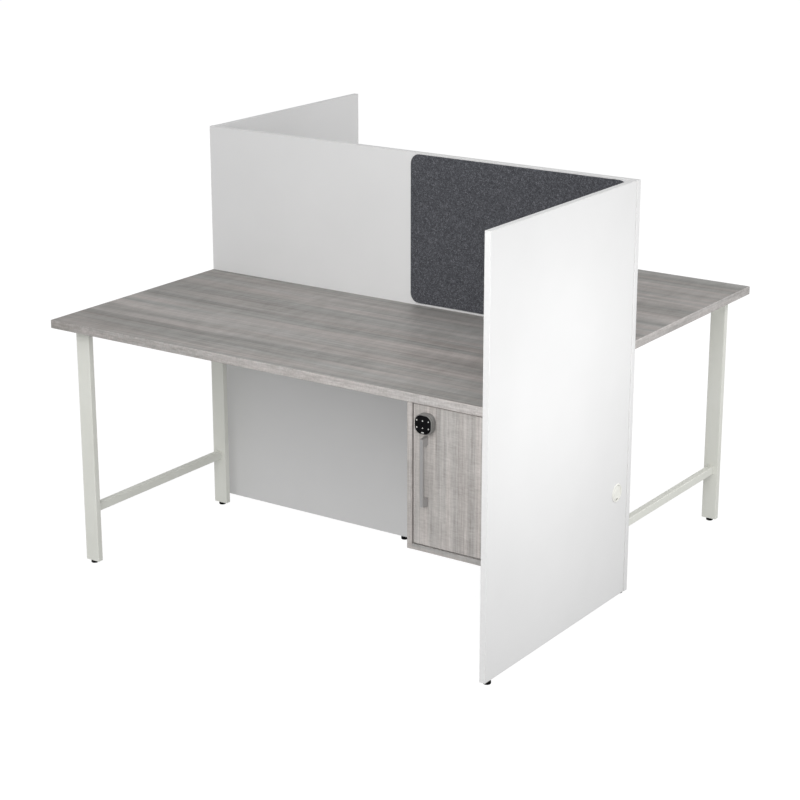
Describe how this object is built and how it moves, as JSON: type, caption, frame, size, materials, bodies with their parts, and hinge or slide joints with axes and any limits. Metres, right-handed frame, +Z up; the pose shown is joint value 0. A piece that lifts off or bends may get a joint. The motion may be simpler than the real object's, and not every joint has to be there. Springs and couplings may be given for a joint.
{
  "type": "study carrel",
  "caption": "Back-to-back study carrel with a shared spine panel, end panels, worktops on leg frames, felt boards and hanging keypad lockers.",
  "frame": {"origin": "on the floor under the middle of the spine panel, which is the centre of the footprint", "axes": "+Z up; +X along the spine panel, towards station a's end panel; station a is on the -Y side of the spine and station b is the same turned half a turn about +Z"},
  "size_m": [1.5466, 1.5856, 1.2525],
  "materials": {
    "white_board": "white melamine-faced board with matching edge band, satin",
    "grey_oak": "grey oak-grain laminate, matt",
    "ivory_metal": "ivory powder coat, fine satin texture",
    "black_nylon": "black moulded nylon pad",
    "cream_plastic": "off-white moulded plastic, satin",
    "grey_felt": "dark grey pressed polyester felt with light fibres",
    "satin_steel": "satin nickel",
    "lock_grey": "satin grey die-cast metal",
    "lock_black": "black plastic"
  },
  "bodies": {
    "carrel": {"spine_panel": "white_board", "a_end_panel": "white_board", "a_grommet_ring": "cream_plastic", "a_worktop": "grey_oak", "a_leg_front": "ivory_metal", "a_leg_rear": "ivory_metal", "a_stretcher": "ivory_metal", "a_top_rail": "ivory_metal", "a_bracket_outer": "ivory_metal", "a_bracket_inner": "ivory_metal", "a_felt_board": "grey_felt", "a_locker_side_outer": "grey_oak", "a_locker_side_inner": "grey_oak", "a_locker_bottom": "grey_oak", "a_locker_top": "grey_oak", "a_locker_back": "grey_oak", "a_hinge_lower": "satin_steel", "a_hinge_upper": "satin_steel", "b_end_panel": "white_board", "b_grommet_ring": "cream_plastic", "b_worktop": "grey_oak", "b_leg_front": "ivory_metal", "b_leg_rear": "ivory_metal", "b_stretcher": "ivory_metal", "b_top_rail": "ivory_metal", "b_bracket_outer": "ivory_metal", "b_bracket_inner": "ivory_metal", "b_felt_board": "grey_felt", "b_locker_side_outer": "grey_oak", "b_locker_side_inner": "grey_oak", "b_locker_bottom": "grey_oak", "b_locker_top": "grey_oak", "b_locker_back": "grey_oak", "b_hinge_lower": "satin_steel", "b_hinge_upper": "satin_steel"},
    "spine_foot_left": {"spine_foot_left": "black_nylon"},
    "spine_foot_mid_left": {"spine_foot_mid_left": "black_nylon"},
    "spine_foot_mid_right": {"spine_foot_mid_right": "black_nylon"},
    "spine_foot_right": {"spine_foot_right": "black_nylon"},
    "a_door": {"a_locker_door": "grey_oak", "a_door_pull": "satin_steel", "a_lock_body": "lock_grey", "a_lock_keypad": "lock_black", "a_lock_case": "lock_black"},
    "a_bolt": {"a_lock_bolt": "satin_steel"},
    "a_cap": {"a_grommet_cap": "cream_plastic"},
    "a_end_panel_foot": {"a_end_panel_foot": "black_nylon"},
    "a_leg_front_foot": {"a_leg_front_foot": "black_nylon"},
    "a_leg_rear_foot": {"a_leg_rear_foot": "black_nylon"},
    "b_door": {"b_locker_door": "grey_oak", "b_door_pull": "satin_steel", "b_lock_body": "lock_grey", "b_lock_keypad": "lock_black", "b_lock_case": "lock_black"},
    "b_bolt": {"b_lock_bolt": "satin_steel"},
    "b_cap": {"b_grommet_cap": "cream_plastic"},
    "b_end_panel_foot": {"b_end_panel_foot": "black_nylon"},
    "b_leg_front_foot": {"b_leg_front_foot": "black_nylon"},
    "b_leg_rear_foot": {"b_leg_rear_foot": "black_nylon"}
  },
  "joints": [
    {"name": "a_door_swing", "type": "hinge", "parent": "carrel", "child": "a_door", "pos_m": [0.7489, -0.7719, 0.55], "axis": [0, 0, 1], "range_deg": [0, 110]},
    {"name": "a_bolt_throw", "type": "slide", "parent": "a_door", "child": "a_bolt", "axis": [-1, 0, 0], "range_m": [0, 0.012]},
    {"name": "a_cap_turn", "type": "hinge", "parent": "carrel", "child": "a_cap", "pos_m": [0.771, -0.071, 0.341], "axis": [1, 0, 0], "continuous": true},
    {"name": "b_door_swing", "type": "hinge", "parent": "carrel", "child": "b_door", "pos_m": [-0.7489, 0.7719, 0.55], "axis": [0, 0, 1], "range_deg": [0, 110]},
    {"name": "b_bolt_throw", "type": "slide", "parent": "b_door", "child": "b_bolt", "axis": [1, 0, 0], "range_m": [0, 0.012]},
    {"name": "b_cap_turn", "type": "hinge", "parent": "carrel", "child": "b_cap", "pos_m": [-0.771, 0.071, 0.341], "axis": [-1, 0, 0], "continuous": true},
    {"name": "spine_foot_left_level", "type": "slide", "parent": "carrel", "child": "spine_foot_left", "axis": [0, 0, -1], "range_m": [0, 0.015]},
    {"name": "spine_foot_mid_left_level", "type": "slide", "parent": "carrel", "child": "spine_foot_mid_left", "axis": [0, 0, -1], "range_m": [0, 0.015]},
    {"name": "spine_foot_mid_right_level", "type": "slide", "parent": "carrel", "child": "spine_foot_mid_right", "axis": [0, 0, -1], "range_m": [0, 0.015]},
    {"name": "spine_foot_right_level", "type": "slide", "parent": "carrel", "child": "spine_foot_right", "axis": [0, 0, -1], "range_m": [0, 0.015]},
    {"name": "a_end_panel_foot_level", "type": "slide", "parent": "carrel", "child": "a_end_panel_foot", "axis": [0, 0, -1], "range_m": [0, 0.015]},
    {"name": "a_leg_front_foot_level", "type": "slide", "parent": "carrel", "child": "a_leg_front_foot", "axis": [0, 0, -1], "range_m": [0, 0.015]},
    {"name": "a_leg_rear_foot_level", "type": "slide", "parent": "carrel", "child": "a_leg_rear_foot", "axis": [0, 0, -1], "range_m": [0, 0.015]},
    {"name": "b_end_panel_foot_level", "type": "slide", "parent": "carrel", "child": "b_end_panel_foot", "axis": [0, 0, -1], "range_m": [0, 0.015]},
    {"name": "b_leg_front_foot_level", "type": "slide", "parent": "carrel", "child": "b_leg_front_foot", "axis": [0, 0, -1], "range_m": [0, 0.015]},
    {"name": "b_leg_rear_foot_level", "type": "slide", "parent": "carrel", "child": "b_leg_rear_foot", "axis": [0, 0, -1], "range_m": [0, 0.015]}
  ]
}
